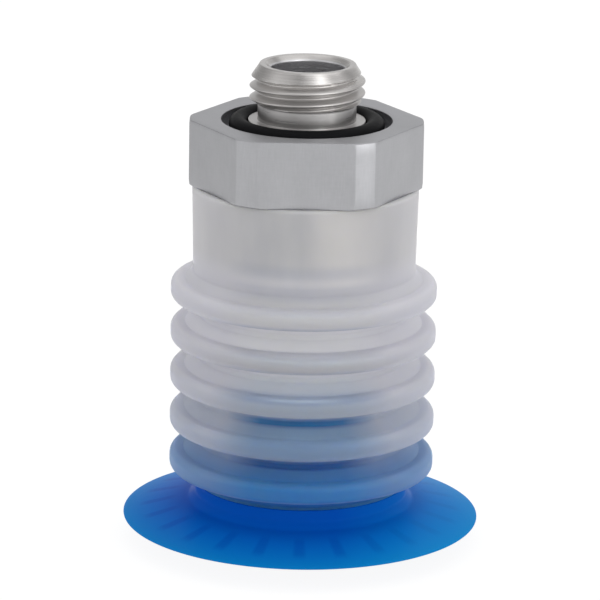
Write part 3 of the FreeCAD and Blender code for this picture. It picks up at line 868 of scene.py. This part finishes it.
land_start = LIP - EDGE_LOW - LAND
skirt_low, neck_low = SKIRT_TOP - SKIRT_WALL, SKIRT_TOP + NECK_CORNER
lip_section = np.array([
    (land_start, 0, 0.1), (LIP - EDGE_LOW, 0, 0.03), (LIP, EDGE_LOW, 0.03),
    (LIP, EDGE_HIGH, 0.04), (SKIRT_START, SKIRT_TOP, 1.0), (VALLEY, neck_low, 0.5),
    (VALLEY, SEAM, 0.12), (COLLAR, SEAM, 0.1), (COLLAR, foot_high, 0.2),
    (BEAD, BEAD_LOW, 0.3), (BEAD, BEAD_HIGH, 0.3), (COLLAR_TOP_RADIUS, GROOVE_HIGH, 0.3),
    (COLLAR_TOP_RADIUS, COLLAR_TOP, 0.25), (THROAT, COLLAR_TOP, 0.25), (THROAT, GROOVE_HIGH, 0.1),
    (GROOVE, GROOVE_HIGH, 0.05), (GROOVE, GROOVE_LOW, 0.05), (THROAT, GROOVE_LOW, 0.1),
    (THROAT, neck_low, 0.3), (SKIRT_START, skirt_low, 0.5),
])
lip_outline = spread(rounded(lip_section[:, :2], lip_section[:, 2], 5), LIP_SPACING)
across, rise = lip_outline.T
print("the section of the lip has", len(lip_outline), "points")

# %% [markdown]
# Under the skirt, low ribs along the radius keep a flat sheet from being sucked in. These
# cleats could be joined on as boxes, but then their roots would show. So the lip is a function
# of angle and place along the section: where a cleat is, the underside is drawn down to the
# cleat's height, over a short slope at its sides.

# %% Lip with its cleats
CLEAT_INNER, CLEAT_OUTER, CLEAT_WIDTH, CLEAT_SIDE = 13.15, 18.55, 1.3, 0.25
CLEAT_LOW_INNER, CLEAT_LOW_OUTER = 0.5, 0.12
SECTIONS_PER_CLEAT = 22
UNDERSIDE_MARGIN = 0.15

underside = read_off(across, [(THROAT, neck_low), (SKIRT_START, skirt_low), (land_start, 0)])
under = rise < underside + UNDERSIDE_MARGIN
under &= (across > CLEAT_INNER) & (across < CLEAT_OUTER)
cleat_low = read_off(across, [(CLEAT_INNER, CLEAT_LOW_INNER), (CLEAT_OUTER, CLEAT_LOW_OUTER)])
half_turn = np.pi / CLEATS
from_cleat = (around(SECTIONS_PER_CLEAT * CLEATS) + half_turn) % (2 * half_turn) - half_turn
past_side = np.abs(from_cleat) * across - CLEAT_WIDTH / 2
cleat = ramp(past_side, CLEAT_SIDE / 2, -CLEAT_SIDE / 2) * under
lip_height = rise + cleat * (np.minimum(cleat_low, rise) - rise)
lip = ring_piece("blue_lip", across, lip_height)
dress(lip, lip_silicone)
on_collar = (rise > SEAM - 0.01) & (across < BEAD + 0.05)
set_profile(lip, "collar_share", on_collar.astype(float))
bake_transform(lip, "lip_ring", "lip", start=(0, 0, SEAM * MM), end=(0, 0, SKIRT_TOP * MM))
set_profile(lip, "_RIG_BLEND", ramp(rise, SEAM, SKIRT_TOP))
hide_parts("lip")

# %% [markdown]
# The photograph is a product picture on plain white. The floor is a pale sheet that looks white
# to the camera, to metal and through the silicone, and that still takes a faint shadow. It lies
# a little below the lip, so that the lip clears it when it tilts. Its back left is darker for
# metal, which gives the flats of the holder some light and dark.

# %% Floor
FLOOR_HALF, FLOOR_LOW = 1.5, -0.0026
FLOOR_WHITE, FLOOR_DARK = 0.85, 0.6


def seen_directly(start):
    """1 for rays from the camera, from gloss and through clear matter, else 0."""
    kinds = ("Is Camera Ray", "Is Glossy Ray", "Is Transmission Ray")
    camera_ray, glossy_ray, clear_ray = (start.node("LightPath", output=kind) for kind in kinds)
    return (camera_ray + glossy_ray + clear_ray).clamped()


corners = FLOOR_HALF * np.array([(-1, -1), (1, -1), (1, 1), (-1, 1)])
corners = np.column_stack([corners, np.full(len(corners), FLOOR_LOW)])
floor_mesh = bpy.data.meshes.new("white_sheet")
floor_mesh.from_pydata(corners.tolist(), [], [(0, 1, 2, 3)])
floor = bpy.data.objects.new("white_sheet", floor_mesh)
bpy.context.scene.collection.objects.link(floor)

sheet, start = new_finish("white_sheet")
paper = start.node("BsdfDiffuse", {}, {"Color": (0.9, 0.9, 0.9, 1)})
glow = start.node("Emission", {}, {"Color": (1, 1, 1, 1), "Strength": 1.08})
back_left = (-8 * along(start, "X")).clamped() * (10 * along(start, "Y")).clamped()
mirrored = start.node("LightPath", output="Is Glossy Ray")
white_share = FLOOR_WHITE * seen_directly(start) - FLOOR_DARK * back_left * mirrored
start.node("OutputMaterial", {}, {"Surface": white_share.merged(paper, glow)})
floor_mesh.materials.append(sheet)
print("floor of %.0f m" % (2 * FLOOR_HALF))

# %% [markdown]
# The world is white all around and a little dimmer above. Bare white would make turned metal
# look like paper, so gloss alone also sees what a studio has: an upright strip light at the front
# right, a dark gap at the front left, and dim flanks behind. The bright bar on the nipple is that
# strip.

# %% World
STRIP_BEARING, GAP_BEARING, STRIP_NARROWNESS = 0.66, -0.42, 26
STRIP_LIGHT, STRIP_TOP = 2.1, 0.93
BACK_DIM, GAP_DIM, FLANK_DIM = 0.2, 0.4, 0.75

world = bpy.data.worlds.new("white_studio")
world.use_nodes = True
world.node_tree.nodes.clear()
bpy.context.scene.world = world
sky = Shade(world.node_tree)
heading = outward_at(sky)


def sky_strip(bearing):
    """1 in an upright strip of the sky at a bearing from the front, fading to its sides: the
    cosine of the angle from the strip, raised to a power."""
    way = (np.sin(bearing), -np.cos(bearing), 0)
    cosine = sky.node("VectorMath", {"operation": "DOT_PRODUCT"}, {0: heading, 1: way}, "Value")
    return sky.math("POWER", cosine.clamped(), STRIP_NARROWNESS)


sideways, climb = along(sky, "X"), along(sky, "Z").clamped()
behind = along(sky, "Y").clamped()
flank = (2 * sideways * sideways * behind).clamped()
strip = sky_strip(STRIP_BEARING) * (8 * (STRIP_TOP - climb)).clamped()
glossy_ray = sky.node("LightPath", output="Is Glossy Ray")
white = (0.9 + 0.1 * seen_directly(sky)) * (1 - 0.4 * climb)
dim = BACK_DIM * behind + GAP_DIM * sky_strip(GAP_BEARING) + FLANK_DIM * flank
white = white * (1 - glossy_ray * dim) + STRIP_LIGHT * strip * glossy_ray
room = sky.node("Background", {}, {"Color": (1, 1, 1, 1), "Strength": white})
sky.node("OutputWorld", {}, {"Surface": room})
print("sky:", len(sky.tree.nodes), "nodes")

# %% [markdown]
# Four soft lamps give the forms their light and dark: a large one above, one on the left, one
# behind on the right, and a small one at the right front, which a corner of the hexagon mirrors.
# Each has a place in metres, a power in watts and a width.

# %% Lamps
CUP_MIDDLE = np.array([0, 0, 0.027])
LAMPS = {
    "top_lamp": ((0.1, 0.08, 0.7), 1.25, 0.9),
    "left_lamp": ((-0.6, -0.25, 0.35), 0.12, 0.5),
    "back_lamp": ((0.45, 0.6, 0.25), 0.2, 0.5),
    "right_lamp": ((0.30, -0.175, 0.04), 0.06, 0.06),
}


def soft_lamp(name, place, watts, size):
    """Square lamp that faces the middle of the cup. Its side is level, across its aim."""
    lamp = bpy.data.lights.new(name, "AREA")
    lamp.energy, lamp.size = watts, size
    aim = CUP_MIDDLE - place
    aim /= np.linalg.norm(aim)
    side = np.cross(aim, (0, 0, 1))
    side /= np.linalg.norm(side)
    turned = np.eye(4)
    turned[:3] = np.column_stack([side, np.cross(side, aim), -aim, place])
    stand = bpy.data.objects.new(name, lamp)
    stand.matrix_world = Matrix(turned.tolist())
    bpy.context.scene.collection.objects.link(stand)


for name, (place, watts, size) in LAMPS.items():
    soft_lamp(name, place, watts, size)
bpy.context.scene.view_settings.view_transform = "Standard"
print(len(LAMPS), "lamps")
